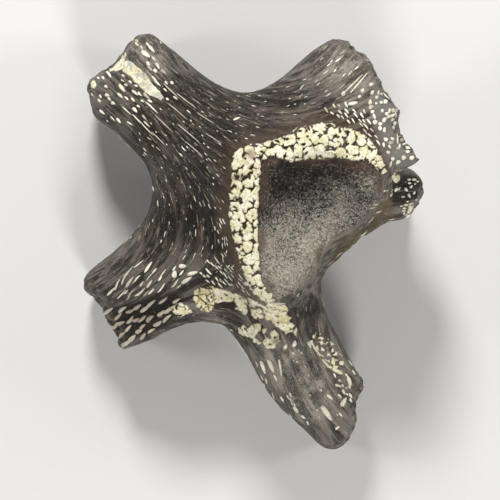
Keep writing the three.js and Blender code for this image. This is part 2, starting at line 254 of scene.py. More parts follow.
class Look:
    """A material and the short ways to fill it with nodes."""

    def __init__(self, name):
        self.material = bpy.data.materials.new(name)
        self.material.use_nodes = True
        self.nodes = self.material.node_tree.nodes
        self.links = self.material.node_tree.links
        self.shader = self.nodes["Principled BSDF"]
        self.object = self.node("ShaderNodeTexCoord", {}, out="Object")

    def node(self, kind, settings, *inputs, out=0, **named):
        made = self.nodes.new(kind)
        for key, value in settings.items():
            setattr(made, key, value)
        for key, value in [*enumerate(inputs), *named.items()]:
            self.plug(made.inputs[key], value)
        return Value(self, made.outputs[out])

    def plug(self, socket, value):
        if isinstance(value, Value):
            self.links.new(value.socket, socket)
        else:
            socket.default_value = value

    def set(self, **inputs):
        for key, value in inputs.items():
            self.plug(self.shader.inputs[key.replace("_", " ")], value)

    def attribute(self, name):
        return self.node("ShaderNodeAttribute", {"attribute_name": name}, out="Fac")

    def vector(self, x, y, z):
        return self.node("ShaderNodeCombineXYZ", {}, x, y, z)

    def split(self, vector):
        """The first two numbers of a vector."""
        outputs = self.node("ShaderNodeSeparateXYZ", {}, vector).socket.node.outputs
        return Value(self, outputs[0]), Value(self, outputs[1])

    def noise(self, place, size, detail=3.0, rough=0.5):
        """Noise in lumps of this size, in the unit of the coordinates."""
        return self.node("ShaderNodeTexNoise", {}, Vector=place, Scale=1 / size, Detail=detail,
                         Roughness=rough)

    def lumps(self, size_mm, detail=3.0, rough=0.5):
        """Noise in lumps of this size on the object itself."""
        return self.noise(self.object, size_mm / PER_METRE, detail, rough)

    def mix(self, amount, first, second):
        """Colours mixed, as first and second are when amount goes from 0 to 1."""
        made = self.nodes.new("ShaderNodeMix")
        made.data_type = "RGBA"
        colours = [c if isinstance(c, Value) else (*c, 1) for c in (first, second)]
        for number, value in zip((0, 6, 7), (amount, *colours)):
            self.plug(made.inputs[number], value)
        return Value(self, made.outputs[2])

    def layers(self, colour, *layers):
        """A colour with others laid over it, each given as an amount and a colour."""
        for amount, over in layers:
            colour = self.mix(amount, colour, over)
        return colour

    def bump(self, height, depth_mm, strength=1.0):
        return self.node("ShaderNodeBump", {}, Strength=strength, Distance=depth_mm / PER_METRE,
                         Height=height)


# %% [markdown]
# ## The skin
#
# The skin is the bone's own dark surface. It starts as a copy of the solid, whose facets are nearly
# half a millimetre across. A voxel remesh turns them into an even net of small squares, and
# smoothing takes the facets' edges away. Subdividing would keep their pattern.

# %% Copy the solid and make its net fine
VOXEL_MM = 0.115
SMOOTHING_ROUNDS = 9

pick(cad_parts["vertebra"])
bpy.ops.object.duplicate()
skin = just_made()
skin.parent = None
skin.matrix_world = Matrix.Identity(4)
skin.name = "bone_skin"
skin.data.transform(Matrix.Scale(PER_METRE, 4))
pick(skin)
bpy.ops.object.mode_set(mode="EDIT")
bpy.ops.mesh.select_all(action="SELECT")
bpy.ops.mesh.remove_doubles(threshold=0.001)
bpy.ops.object.mode_set(mode="OBJECT")
modify(skin, "REMESH", mode="VOXEL", voxel_size=VOXEL_MM)
modify(skin, "SMOOTH", factor=0.5, iterations=SMOOTHING_ROUNDS)
print("skin:", len(skin.data.vertices), "vertices")

# %% [markdown]
# The places of the main features come from the photograph, as the outlines of patches. The joint
# face is the dark hollow inside the rim, and the rim is the band along its two straight sides.

# %% Where the features are
RIM_OUTSIDE = [
    (255, 296), (247, 286), (241, 268), (235, 250), (231, 234), (228, 217), (229, 194), (232, 177),
    (231, 164), (234, 153), (240, 148), (249, 145), (262, 144), (283, 137), (299, 128), (322, 123),
    (340, 127), (356, 132), (367, 138), (376, 148), (381, 159), (387, 173)]
RIM_INSIDE = [
    (382, 177), (373, 168), (360, 162), (335, 160), (310, 161), (290, 164), (273, 158), (262, 161),
    (260, 180), (258, 229), (260, 262), (262, 280), (270, 296)]
FACE_EDGE = [
    (383, 197), (373, 207), (366, 221), (343, 232), (331, 240), (324, 250), (318, 271), (307, 284),
    (290, 294), (278, 300)]
rim_loop = loop_of(RIM_OUTSIDE + RIM_INSIDE)
face_loop = loop_of(RIM_INSIDE[::-1] + FACE_EDGE)

# %% [markdown]
# Broken edges show the rough inside of the bone: the ends of the processes and the wing's edge. A
# sharp crease parts the wing's top from its outer facet.

# %% Broken edges and the crease
BROKEN_EDGES = [  # grooved process, wing, ledged process, long process and stump
    [(91, 88), (110, 70), (124, 56)],
    [(337, 39), (352, 50), (369, 61), (380, 87), (397, 110), (397, 133), (411, 153), (422, 160)],
    [(119, 351), (119, 334), (110, 320), (101, 301), (86, 287)],
    [(361, 380), (356, 395), (352, 410), (357, 420)],
    [(420, 190), (414, 211), (405, 223)]]
CREASE = [(356, 52), (371, 80), (369, 110), (374, 140), (384, 166)]
HUB = spot(205, 165)  # where the processes meet

# %% [markdown]
# The grain's formula knows only the plan, so on a steep side it would draw its fibres straight
# down. There the way down from the upper side is added to it, and the fibres run along the side.

# %% The grain on the steep sides
ABOVE_BONE = 15.0  # the height that rays look down from
LOOK_INWARD = 0.35  # how far in from a point on a side the upper side is looked for
SIDE_GRAIN = 0.8  # how closely the fibres follow one another down a side


def tree_of(obj):
    return BVHTree.FromObject(obj, bpy.context.evaluated_depsgraph_get())


def top_at(tree, x, y):
    """The highest point at a place in the plan and its normal, or None and None beside the bone."""
    place, normal, _, _ = tree.ray_cast(Vector((x, y, ABOVE_BONE)), Vector((0, 0, -1)))
    return place, normal


def below_top(points, normals):
    """How far each point lies below the upper side next to it: 0 on top, growing down the sides."""
    tree = tree_of(skin)
    drops = []
    for (x, y), z in zip(points[:, :2] - LOOK_INWARD * normals[:, :2], points[:, 2]):
        top, _ = top_at(tree, x, y)
        drops.append(top.z - z if top else 0)
    return np.maximum(drops, 0)


points = points_of(skin)
normals = normals_of(skin)
upward = normals[:, 2]
along, across = grain_coordinates(points)
steep = rising(upward, -0.65, -0.15) * (1 - rising(upward, 0.05, 0.4))
fibre = across + SIDE_GRAIN * steep * below_top(points, normals)
print("the grain is", np.ptp(fibre).round(1), "mm across")

# %% [markdown]
# In three places the grain gives way: at the broken edges, in the joint face, and on the worn
# sides of the processes towards their ends.

# %% Where the grain gives way
BREAK_REACH = 0.5

broken = 1 - rising(-depth_in_any(points, map(there_and_back, BROKEN_EDGES)), 0.1, BREAK_REACH)
broken = broken * (1 - 0.75 * rising(upward, 0.3, 0.8))
face = rising(depth_in(points[:, :2], face_loop), -0.05, 0.12) * rising(points[:, 2], 6.2, 6.8)
face = face * rising(upward, 0.2, 0.45)
from_hub = points[:, :2] - HUB
outward = np.hypot(*from_hub.T)
facing_out = rising((normals[:, :2] * from_hub).sum(axis=1) / outward, 0.5, 0.8)
end = (0.5 + 0.5 * facing_out) * rising(outward, 5.5, 7.5) * (1 - rising(upward, 0.2, 0.5))
plain = (1 - face) * (1 - np.maximum(broken, end))
print("share with grain:", plain.mean().round(2))

# %% [markdown]
# The surface gets its relief by moving vertices along their normals: ridges and furrows along the
# grain, soft lumps, rough broken ends. A bump in the material could fake these, but real relief
# also shows at the outline and when the bone is turned.

# %% Give the skin its relief
RIDGE_DEPTH = 0.022
LUMP_DEPTH = 0.05
BREAK_DEPTH = 0.14
SAND_DEPTH = 0.02
END_DEPTH = 0.05
CREASE_HEIGHT = 0.09

streaked = np.stack([0.3 * along, fibre, 0.1 * points[:, 2]], axis=1)
move = RIDGE_DEPTH * plain * (wobble(streaked, 0.22, 1) + 0.7 * wobble(streaked, 0.5, 2))
move += LUMP_DEPTH * (1 - face) * wobble(points, 1.6, 3)
move += BREAK_DEPTH * broken * (wobble(points, 0.45, 4) + 0.5 * wobble(points, 0.22, 5) - 0.35)
move += SAND_DEPTH * face * wobble(points, 0.3, 6) + END_DEPTH * end * wobble(points, 0.4, 7)
crease = -depth_in_any(points, [there_and_back(CREASE)])
move += CREASE_HEIGHT * (1 - rising(crease, 0.0, 0.3)) * rising(upward, 0.2, 0.5)
move *= rising(points[:, 2], 0.0, 0.25)  # the underside stays flat where it touches the floor
moved = points + normals * move[:, None]
print("moved by at most", abs(move).max().round(3), "mm")

# %% [markdown]
# The wing ends in a thin, sharp tip, which is drawn together towards one point.

# %% The tip of the wing
WING_TIP = np.array([*spot(424, 160), 7.3])
PINCH = 0.75
PINCH_REACH = 1.1

near_tip = 1 - rising(np.linalg.norm(moved - WING_TIP, axis=1), 0.15, PINCH_REACH)
pinch = PINCH * near_tip * (points[:, 2] > 6)
moved[:, 1:] += (WING_TIP - moved)[:, 1:] * pinch[:, None]
move_points(skin, moved)
print("tip at", WING_TIP.round(2))

# %% [markdown]
# The skin's materials need to know where they are. Each mask is a number per vertex. These are
# patches in the photograph: the wing's facet, whose slate grey is partly painted sheen, the tan wall
# below the joint face, whose darker tan is partly painted shade, pale patches of painted sheen, and
# black patches of painted shade.

# %% Patches in the photograph
WING_FACET = [
    (371, 78), (380, 84), (397, 108), (400, 133), (413, 152), (425, 160), (408, 170), (390, 173),
    (383, 163), (374, 140), (369, 112)]
TAN_WALL = [
    (388, 196), (376, 212), (368, 226), (345, 240), (333, 252), (327, 270), (318, 290), (326, 292),
    (340, 262), (352, 250), (372, 232), (392, 214)]
# painted sheen: pale patches that stand for the gloss's reflection
SHEEN_PATCHES = [  # on the wing, the long process and the grooved process
    [(336, 52), (352, 50), (368, 72), (364, 96), (342, 94), (328, 72)],
    [(262, 352), (300, 345), (322, 372), (336, 410), (312, 424), (280, 388)],
    [(122, 60), (138, 42), (152, 46), (164, 70), (150, 84), (134, 76)]]
# painted shade: black patches in the ledge's crevice, in the hollow under the joint face and on the
# low stump
SHADES = [  # on the ledge, under the joint face and on the stump
    [(104, 305), (122, 303), (172, 290), (190, 298), (165, 328), (120, 348)],
    [(284, 297), (300, 290), (318, 294), (324, 312), (302, 320), (290, 312)],
    [(386, 188), (400, 174), (422, 174), (424, 198), (412, 202), (400, 207), (388, 208)]]

points = points_of(skin)
upward = normals_of(skin)[:, 2]
# painted sheen and painted shade, as masks
store(skin, "painted_sheen", rising(depth_in_any(points, SHEEN_PATCHES), -0.8, 0.5))
store(skin, "shade", rising(depth_in_any(points, SHADES), -0.1, 0.25))
# the wing's facet; its slate grey in the material is partly painted sheen
facet = rising(depth_in_any(points, [WING_FACET]), -0.06, 0.1)
store(skin, "facet", facet * rising(upward, 0.1, 0.4))
# the tan wall below the joint face; its darker tan is partly painted shade
tan_wall = rising(depth_in_any(points, [TAN_WALL]), -0.25, 0.1)
store(skin, "tan_wall", tan_wall * rising(points[:, 2], 3.0, 6.0))
print(len(SHEEN_PATCHES), "sheen_patches and", len(SHADES), "shades")

# %% [markdown]
# Other masks follow from the shape. The sand in the joint face carries painted light and shade: it is
# darkest, in painted shade, in the rim's corner, gets lighter away from it, and a little darker again
# at the right end.

# %% Masks that follow from the shape
# painted light in the joint face: painted shade darkest in the rim's corner, lighter away from it, a
# little darker at the right end
SHADOWED_CORNER = spot(272, 172)
RIGHT_END = spot(318, 172)[0], spot(362, 172)[0]

from_corner = 0.42 * (points[:, 0] - SHADOWED_CORNER[0]) + SHADOWED_CORNER[1] - points[:, 1]
painted_light = rising(from_corner + 0.6 * wobble(points, 1.2, 33), 0.7, 4.6)
ragged = 0.35 * wobble(points, 0.9, 31) + 0.12 * wobble(points, 0.3, 32)
from_edge = depth_in(points[:, :2], face_loop) + ragged
rim_gap = depth_in(points[:, :2], rim_loop)
store(skin, "face", face)
# the painted light and shade of the joint face's sand
store(skin, "face_painted_light", painted_light * (1 - 0.4 * rising(points[:, 0], *RIGHT_END)))
store(skin, "face_border", face * (1 - rising(from_edge, 0.1, 0.6)))
store(skin, "broken", np.maximum(broken, end))
store(skin, "outer", rising(outward, 2.8, 9.0) * (0.45 + 0.55 * rising(upward, 0.0, 0.5)))
store(skin, "rim_slope", rising(upward, 0.0, 0.4) * rising(rim_gap, -0.9, -0.1) * (1 - face))
print("masks:", [layer.name for layer in skin.data.attributes if layer.data_type == "FLOAT"])

# %% [markdown]
# The grain is a UV map, so that a pattern can follow the fibres over the whole bone.

# %% The grain map
grain_map = skin.data.uv_layers.new(name="grain")
corner_vertex = np.empty(len(skin.data.loops), np.int32)
skin.data.loops.foreach_get("vertex_index", corner_vertex)
grain_at = np.stack([along, fibre], axis=1)
grain_map.data.foreach_set("uv", grain_at[corner_vertex].astype(np.float32).ravel())
print("map:", grain_map.name)

# %% [markdown]
# ## Finish of the dark bone
#
# The bone is brown-black and fairly glossy. The joint face is matt and sandy, with no grain: dark and
# pale grains, painted light and shade that is darkest in the rim's corner, painted white glints where
# that painted light is strongest, and a red-brown border.

# %% Sand in the joint face
BROWN_BONE = (0.056, 0.040, 0.028)
SAND_DARK = (0.010, 0.008, 0.006)
SAND_PALE = (0.37, 0.325, 0.26)
# colour of the painted glints in the sand
SAND_GLINT = (0.66, 0.63, 0.57)
RED_BROWN = (0.10, 0.056, 0.036)


def joint_sand(look, grain, glint_noise):
    painted_light = look.attribute("face_painted_light")
    border = look.attribute("face_border")
    drift = look.lumps(1.2)
    return look.layers(
        SAND_DARK,
        # pale grains, more of them where the painted light is strong
        ((1.5 * grain + 0.6 * drift + 0.34 * painted_light - 0.76).step(0.28, 0.77), SAND_PALE),
        (drift.step(0.5, 0.75) * 0.3, BROWN_BONE),
        # painted white glints, mostly where the painted light is strong
        (glint_noise.step(0.53, 0.63) * (0.12 + 0.68 * painted_light.step(0.1, 0.6)), SAND_GLINT),
        (border * drift.step(0.38, 0.6) * 0.7, RED_BROWN))


# %% [markdown]
# The rest is built up in layers of colour. Noise drawn out along the grain map makes the fibres, and
# noise in plain space makes clouds, grains and specks, and the specks are painted glints. The masks
# say where a layer lies: ash towards the ends of the processes, umber round the rim, painted sheen
# and painted shade in their patches.

# %% Dark bone
BLACK_BONE = (0.010, 0.0078, 0.0062)
GREY_BONE = (0.115, 0.102, 0.090)
ASH_BONE = (0.19, 0.165, 0.14)
# colour of the painted sheen
SHEEN_BONE = (0.37, 0.325, 0.275)
# slate grey of the wing's facet, partly painted sheen
SLATE_AND_SHEEN_BONE = (0.20, 0.185, 0.165)
# pale fibre threads, and also the colour of painted glints
PALE_THREAD_AND_GLINT = (0.40, 0.355, 0.29)
UMBER = (0.062, 0.032, 0.016)
TAN_BONE = (0.125, 0.098, 0.052)
# darker tan of the wall, partly painted shade
DARK_TAN_AND_SHADE = (0.036, 0.028, 0.016)


def dark_bone():
    look = Look("dark_bone")
    along, across = look.split(look.node("ShaderNodeUVMap", {"uv_map": "grain"}))
    fibres = look.vector(0.14 * along, across, 0.0)
    wide = look.noise(fibres, 0.6, 2.0)
    fine = look.noise(fibres, 0.17, 3.0, 0.65)
    hair = look.noise(look.vector(0.22 * along, across, 3.0), 0.12, 4.0, 0.75)
    cloud = look.lumps(2.1)
    mottle = look.lumps(0.7, 4.0, 0.7)
    spongy = look.lumps(0.4, 4.0, 0.65)
    grain = look.lumps(0.14, 3.0, 0.75)
    # noise for painted glints and sparkles
    glint_noise = look.lumps(0.08, 2.0, 0.8)
    names = ("face", "broken", "rim_slope", "tan_wall", "outer", "facet", "painted_sheen", "shade")
    face, broken, slope, tan_wall, outer, facet, painted_sheen, shade = map(look.attribute, names)

    tone = (0.4 * wide + 1.3 * fine + 0.4 * cloud - 0.6 + 0.1 * outer).step(0.34, 0.64)
    ash = (0.35 * cloud + 0.25 * wide + 1.2 * fine - 0.4).step(0.42, 0.6)
    sheen_mottle = (0.7 * mottle + 0.5 * fine - 0.1).step(0.42, 0.64)
    rough_end = look.mix(spongy.step(0.38, 0.6), BLACK_BONE, ASH_BONE)
    # the wall's tan, mottled with a darker tan that is partly painted shade
    wall = look.mix((0.5 * cloud + 0.5 * grain).step(0.42, 0.58), DARK_TAN_AND_SHADE, TAN_BONE)
    colour = look.layers(
        BLACK_BONE,
        # fibres and clouds of the ground
        (tone, BROWN_BONE),
        (cloud.step(0.48, 0.68) * tone * (0.15 + 0.4 * outer), GREY_BONE),
        (fine.step(0.56, 0.66) * (0.3 + 0.4 * outer), GREY_BONE),
        (outer * (0.08 + 0.75 * ash), ASH_BONE),
        # painted sheen, the wing's facet, whose slate is partly painted sheen, and painted shade
        (painted_sheen * (0.08 + 0.65 * sheen_mottle), SHEEN_BONE),
        (painted_sheen * glint_noise.step(0.5, 0.66) * 0.5, PALE_THREAD_AND_GLINT),
        (facet * 0.7, SLATE_AND_SHEEN_BONE),
        (shade * 0.88, BLACK_BONE),
        # hair-thin threads, and specks that are painted glints, fewer round the rim
        (hair.step(0.6, 0.67) * (0.65 - 0.55 * slope), PALE_THREAD_AND_GLINT),
        (glint_noise.step(0.64, 0.72) * (0.7 - 0.6 * slope), PALE_THREAD_AND_GLINT),
        # places with a look of their own
        (slope * 0.5, UMBER),
        (broken * 0.8, rough_end),
        (tan_wall * 0.9, wall),
        (face, joint_sand(look, grain, glint_noise)))
    roughness = 0.22 + 0.28 * fine + 0.38 * face + 0.25 * broken + 0.25 * tan_wall + 0.2 * shade
    fibrous = fine + 0.6 * hair
    relief = fibrous + 0.25 * grain + face * (1.2 * grain - fibrous) + broken * (spongy - fibrous)
    look.set(Base_Color=colour, Roughness=roughness, Normal=look.bump(relief, 0.16))
    look.set(Specular_IOR_Level=0.2)
    return look.material


# %% [markdown]
# ## Worn spongy bone
#
# Where the surface has worn off, the spongy bone below shows as cream islands with dark, winding
# cracks between them. Seeds make such a pattern when each claims the ground nearest to it: cracks
# run where two seeds' ground meets. The islands are real relief here, on a fine sheet that is laid
# over the skin, so its edge makes a true step.

# %% A pattern of islands
def islands(points, size, seed):
    """Each point's distance to the nearest border between islands, its distance to the next border,
    and a number for its island. Both distances are short where three islands meet."""
    winding = [wobble(points, 0.5 * size, seed + shift) for shift in (0, 0.5)]
    flat = points[:, :2] / size + 0.32 * np.stack(winding, 1)
    draw = np.random.default_rng(seed)
    first = np.floor(flat.min(axis=0)) - 1
    count = (np.ceil(flat.max(axis=0)) - first + 2).astype(int)
    jitter = draw.random((count[0], count[1], 2))
    cell = np.floor(flat).astype(int)
    gaps, seeds = [], []
    for i in (-1, 0, 1):
        for j in (-1, 0, 1):
            near = cell + (i, j)
            index = (near - first).astype(int)
            place = near + 0.1 + 0.8 * jitter[index[:, 0], index[:, 1]]
            gaps.append(np.hypot(*(flat - place).T))
            seeds.append(place)
    gaps, seeds = np.array(gaps), np.array(seeds)
    rows = np.arange(len(points))
    nearest, second, third = np.argsort(gaps, axis=0)[:3]

    def to_border(other):
        apart = np.hypot(*(seeds[other, rows] - seeds[nearest, rows]).T)
        return size * (gaps[other, rows] ** 2 - gaps[nearest, rows] ** 2) / (2 * apart)

    number = np.mod(np.abs(np.sin(seeds[nearest, rows] @ (12.99, 78.23))) * 43758.5, 1)
    return to_border(second), to_border(third), number


# %% [markdown]
# A crust is made like a cloth cut to shape: a fine grid is laid over its patch, cut to the outline,
# pressed down on the skin by a Shrinkwrap modifier, and raised. Its edge is sunk under the skin, and
# a Solidify modifier closes it below.

# %% A crust over a patch of the skin
GRID_SPACING = 0.04
GRID_HEIGHT = 14  # where the grid starts, above the whole bone
BODY = 0.25  # thickness of a crust, most of it inside the bone
SUNK = 0.08  # how far its edge lies under the skin
CUT = -0.02  # it is cut this far outside the outline


def flat_grid(name, low_corner, high_corner):
    """A fine level grid above the bone."""
    size = high_corner - low_corner
    across, down = np.ceil(size / GRID_SPACING).astype(int)
    middle = (low_corner + high_corner) / 2
    bpy.ops.object.select_all(action="DESELECT")
    bpy.ops.mesh.primitive_grid_add(x_subdivisions=int(across), y_subdivisions=int(down), size=1,
                                    location=(middle[0], middle[1], GRID_HEIGHT))
    sheet = just_made()
    sheet.name = name
    bpy.ops.transform.resize(value=(size[0], size[1], 1))
    bpy.ops.object.transform_apply()
    return sheet


def delete_vertices(obj, unwanted):
    for parts in (obj.data.polygons, obj.data.edges):
        parts.foreach_set("select", np.zeros(len(parts), bool))
    obj.data.vertices.foreach_set("select", unwanted)
    bpy.ops.object.mode_set(mode="EDIT")
    bpy.ops.mesh.delete(type="VERT")
    bpy.ops.object.mode_set(mode="OBJECT")


def crust(name, outline, rise, edge, pattern, ragged=1.0):
    """Lays a raised crust on the skin inside the outline. pattern says how deep its cracks are."""
    sheet = flat_grid(name, outline.min(axis=0) - 0.1, outline.max(axis=0) + 0.1)
    points = points_of(sheet)
    edge_noise = ragged * (0.05 * wobble(points, 0.22, 21) + 0.03 * wobble(points, 0.09, 22))
    depth = depth_in(points[:, :2], outline) + edge_noise
    delete_vertices(sheet, depth < CUT)
    depth = depth[depth >= CUT]
    modify(sheet, "SHRINKWRAP", target=skin, wrap_method="PROJECT", use_project_z=True,
           use_negative_direction=True, use_positive_direction=False)
    points = points_of(sheet)
    cracks, values = pattern(points, depth)
    body = rising(depth, CUT, edge)
    points[:, 2] = points[:, 2] - SUNK + body * (rise + SUNK) - cracks * rising(depth, 0, edge)
    move_points(sheet, points)
    for key, number in values.items():
        store(sheet, key, number)
    modify(sheet, "SOLIDIFY", thickness=BODY, offset=-1.0)
    finish_piece(sheet, worn_material)


# %% [markdown]
# The islands are cream to white, with olive grit and yellow and rusty stains. A grey film veils
# some of them, and the cracks show the dark mineral below.

# %% Worn bone
YELLOW_CREAM = (0.62, 0.51, 0.23)
OLIVE = (0.34, 0.30, 0.17)
FILM_GREY = (0.34, 0.34, 0.31)
CRACK_DARK = (0.020, 0.015, 0.011)
CRACK_BROWN = (0.042, 0.030, 0.020)
RUST = (0.17, 0.075, 0.042)
BONE_WHITE = (0.80, 0.755, 0.585)
BONE_CREAM = (0.71, 0.66, 0.44)


def worn_bone():
    look = Look("worn_spongy_bone")
    mottle = look.lumps(0.5, 4.0, 0.6)
    grit = look.lumps(0.12, 3.0, 0.7)
    speckle = look.lumps(0.25, 4.0, 0.75)
    colour = look.layers(
        BONE_WHITE,
        (mottle.step(0.4, 0.6), BONE_CREAM),
        (look.attribute("tint") * mottle.step(0.25, 0.6) * 0.75, YELLOW_CREAM),
        (speckle.step(0.5, 0.64) * 0.4, OLIVE),
        (grit.step(0.52, 0.64) * 0.75, OLIVE),
        (look.attribute("veil"), FILM_GREY),
        (look.attribute("stain"), RUST),
        (look.attribute("crack"), look.mix(mottle.step(0.4, 0.6), CRACK_DARK, CRACK_BROWN)))
    look.set(Base_Color=colour, Roughness=0.5 + 0.2 * grit, Normal=look.bump(grit, 0.03, 0.6))
    look.set(Specular_IOR_Level=0.12)
    return look.material


worn_material = worn_bone()

# %% [markdown]
# One recipe serves all the crusts. Borders between islands open into cracks over a share of the
# crust. A crack can close away from the corners where three islands meet, which leaves a short
# fork. Pits are added, and dark ground round pieces that the photograph shows one by one.

# %% The pattern of a crust
def cracked(size, width, share, crack_depth, seed, stains=(), yellow=None, pieces=(), pits=0.4,
            closing=0.0, film=0.0):
    """width is half a crack's width, share the part of the crust with cracks, yellow a stain's
    outline, and stains the places and sizes of rusty ones."""

    def pattern(points, depth):
        border, corner, number = islands(points, size, seed)
        present = rising(wobble(points, 1.2 * size, seed + 7) + 2 * share - 1, -0.1, 0.08)
        half = width * (0.8 + 1.1 * wobble(points, 0.3, seed + 3))
        half = half + 0.012 * wobble(points, 0.1, seed + 4) + closing * (0.17 * size - corner)
        crack = (1 - rising(border, half - 0.015, half + 0.03)) * present
        crack = np.maximum(crack, rising(wobble(points, 0.26, seed + 11), pits, pits + 0.1))
        if pieces:
            ragged = 0.09 * wobble(points, 0.34, seed + 13) + 0.06 * wobble(points, 0.15, seed + 14)
            inside = depth_in_any(points, pieces) + ragged
            crack = np.maximum(crack, 1 - rising(inside, -0.05, 0.03))
        tint = 0.5 * number ** 3
        if yellow is not None:
            tint = np.maximum(tint, 0.8 * rising(depth_in(points[:, :2], yellow), -0.2, 0.3))
        stain = np.zeros(len(points))
        for x, y, size_mm in stains:
            reach = np.hypot(points[:, 0] - x, points[:, 1] - y) + 0.18 * wobble(points, 0.35, 5)
            stain = np.maximum(stain, 0.7 * (1 - rising(reach, 0.2 * size_mm, 1.3 * size_mm)))
        cloudy = wobble(points, 0.4, seed + 15) + 0.6 * wobble(points, 0.15, seed + 16)
        puff = 0.015 * rising(border, 0, 0.12) * present
        lump = 0.02 * wobble(points, 0.5, seed + 9)
        dark_edge = 1 - rising(depth, 0.02, 0.08)
        values = {"crack": np.maximum(crack, dark_edge), "tint": tint, "stain": stain,
                  "veil": film * rising(cloudy, -0.35, 0.35)}
        return crack_depth * crack - puff - lump, values
    return pattern


# %% [markdown]
# The rim round the joint face is the largest patch, about three quarters of it cream. The root of
# the long process has larger pieces and wider gaps. The rest are small: two on the ledge, smooth
# fillings in the groove and the notch beside it, the lips of a corner and of the stump's knob, and
# a mottled patch with a cream streak on the long process.

# %% Crusts of spongy bone
ROOT_PATCH = loop_of([
    (212, 284), (232, 290), (246, 296), (256, 291), (272, 292), (276, 300), (284, 303), (289, 308),
    (287, 313), (292, 316), (290, 321), (296, 324), (294, 328), (300, 332), (296, 346), (284, 349),
    (272, 349), (262, 348), (250, 341), (240, 335), (234, 322), (246, 316), (240, 312), (226, 306),
    (214, 304)])
LEDGE_PATCH = loop_of([
    (193, 289), (200, 286), (214, 285), (216, 304), (212, 312), (204, 313), (197, 309), (193, 300)])
ROUND_PATCH = loop_of([
    (171, 310), (173, 304), (180, 301), (187, 304), (193, 309), (194, 313), (187, 315), (182, 318),
    (175, 316)])
ROOT_PIECES = [
    [(212, 286), (226, 290), (243, 297), (247, 300), (247.5, 305), (245.6, 314), (242, 313.6),
     (233, 311), (234, 308.5), (239, 306.7), (235, 301.7), (226, 301), (214, 303)],
    [(248, 297.5), (255, 301), (263.5, 304.5), (266.3, 308), (265.4, 311), (261.7, 307),
     (255.3, 305.5), (249.8, 304)],
    [(251.6, 309.4), (259.9, 308.6), (264, 313), (262, 318), (254, 318), (251, 315)],
    [(257, 295), (263.5, 291.6), (271.8, 292), (273.6, 300), (269, 303), (261.7, 299.5)],
    [(266, 304), (272, 302), (280, 304), (286, 305), (288, 311), (292, 317), (292, 323), (298, 331),
     (296, 335), (290, 331), (285.5, 332.6), (280, 327), (275.5, 325), (271, 319), (266, 320),
     (264, 312)],
    [(235, 331), (243, 325), (247, 327), (255, 322.5), (261, 324), (260, 329), (257, 332), (257, 337),
     (261.7, 342), (265, 338), (262, 330), (265.4, 327), (266.3, 334), (269, 338), (271, 337),
     (270, 330), (275.5, 328.7), (277.5, 333), (279, 340), (272.7, 348), (265, 348), (257, 343),
     (243, 335)]]
GROOVE_PATCH = loop_of([
    (122, 70), (124, 61), (128, 59), (134, 62), (142, 69), (149, 76), (154, 84), (161, 91), (167, 99),
    (162, 103), (154, 100), (146, 95), (138, 88), (130, 79), (124, 74)])
NOTCH_PATCH = loop_of([
    (108, 72), (115, 65), (121, 58), (127, 50), (128, 56), (126, 63), (124, 70), (117, 73)])
MOTTLED_PATCH = loop_of([
    (306, 338), (314, 331), (324, 332), (334, 343), (344, 358), (346, 372), (338, 374), (328, 366),
    (319, 355)])
CREAM_STREAK = loop_of([
    (308, 337), (313, 341), (321, 354), (330, 364), (343, 371), (345, 375), (337, 374), (326, 367),
    (317, 356), (309, 343)])

crust("rim_spongy_bone", rim_loop, 0.10, 0.07,
      cracked(0.55, 0.055, 0.72, 0.11, 3, pits=0.43, closing=0.58,
              stains=[(*spot(251, 155), 0.35), (*spot(238, 178), 0.3)]), ragged=1.8)
crust("root_spongy_bone", ROOT_PATCH, 0.09, 0.08,
      cracked(0.6, 0.015, 0.5, 0.11, 8, pits=0.38, pieces=ROOT_PIECES,
              stains=[(*spot(276, 340), 0.3)],
              yellow=loop_of([(268, 304), (290, 306), (293, 328), (270, 324)])), ragged=1.8)
crust("ledge_spongy_bone", LEDGE_PATCH, 0.07, 0.08,
      cracked(0.4, 0.02, 0.7, 0.10, 12, pits=0.34, yellow=LEDGE_PATCH))
crust("ledge_round_bone", ROUND_PATCH, 0.07, 0.08, cracked(0.35, 0.03, 0.6, 0.08, 15))
crust("groove_filling", GROOVE_PATCH, 0.04, 0.16,
      cracked(0.8, 0.03, 0.1, 0.05, 17, pits=0.6, film=0.75,
              yellow=loop_of([(138, 78), (146, 80), (150, 92), (143, 88)])))
crust("notch_filling", NOTCH_PATCH, 0.04, 0.08,
      cracked(0.8, 0.03, 0.05, 0.05, 19, pits=0.6, film=0.4))
crust("corner_lip", loop_of([(90, 84), (93, 80), (97, 80), (98, 86), (96, 91), (91.5, 89)]),
      0.05, 0.08, cracked(0.8, 0.03, 0.05, 0.04, 33, pits=0.6))
crust("knob_lip", loop_of([(389, 177), (393, 172), (399, 174), (400, 180), (396, 185), (391, 183)]),
      0.06, 0.1, cracked(0.4, 0.05, 0.5, 0.08, 21))
crust("mottled_bone", MOTTLED_PATCH, 0.05, 0.08, cracked(0.34, 0.075, 0.9, 0.1, 25, pits=0.3))
crust("cream_streak", CREAM_STREAK, 0.09, 0.08, cracked(0.5, 0.04, 0.4, 0.1, 27))

# %% [markdown]
# ## Filled pits
#
# Hundreds of small pits are filled with cream mineral. They are blood-vessel openings, drawn out
# along the grain. Each filling is the same small lens, stretched to its own length and width,
# turned, and laid on the skin point by point, so that it hugs the curved bone.

# %% The lens that every filling is made from
bpy.ops.object.select_all(action="DESELECT")
bpy.ops.mesh.primitive_uv_sphere_add(segments=8, ring_count=5, radius=1,
                                     rotation=(0, math.pi / 2, 0))
bpy.ops.object.transform_apply()
lens = just_made()
lens_points = points_of(lens)
lens_faces = [tuple(face.vertices) for face in lens.data.polygons]
lens_edge = 1 - np.clip(lens_points[:, 2], 0, 1)
bpy.data.objects.remove(lens)
bpy.context.view_layer.update()
skin_tree = tree_of(skin)
print("lens:", len(lens_points), "vertices")

